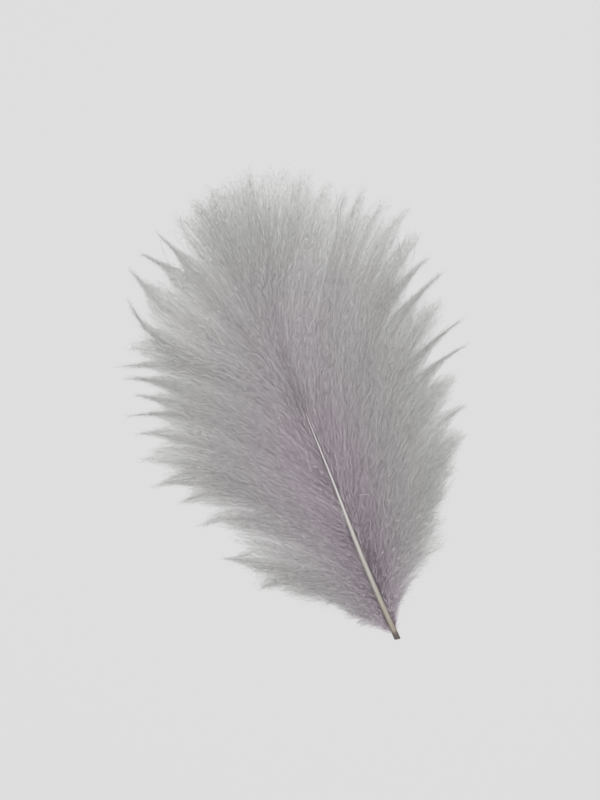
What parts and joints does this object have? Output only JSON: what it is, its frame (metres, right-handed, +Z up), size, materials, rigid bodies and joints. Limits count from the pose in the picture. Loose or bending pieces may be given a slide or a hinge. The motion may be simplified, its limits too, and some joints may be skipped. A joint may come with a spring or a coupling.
{
  "type": "marabou feather",
  "caption": "Loose fluffy marabou feather lying flat: a bare cream shaft with soft grey down, mauve near the shaft.",
  "frame": {"origin": "middle of the feather's footprint, on the surface that it lies on", "axes": "+Y along the feather from the cut end of its quill to the top of its down, +Z up from the surface, +X to the right seen from above"},
  "size_m": [0.0888, 0.1212, 0.0096],
  "materials": {
    "down": "matte",
    "shaft": "satin"
  },
  "bodies": {
    "root": {"feather": "down"}
  },
  "joints": []
}
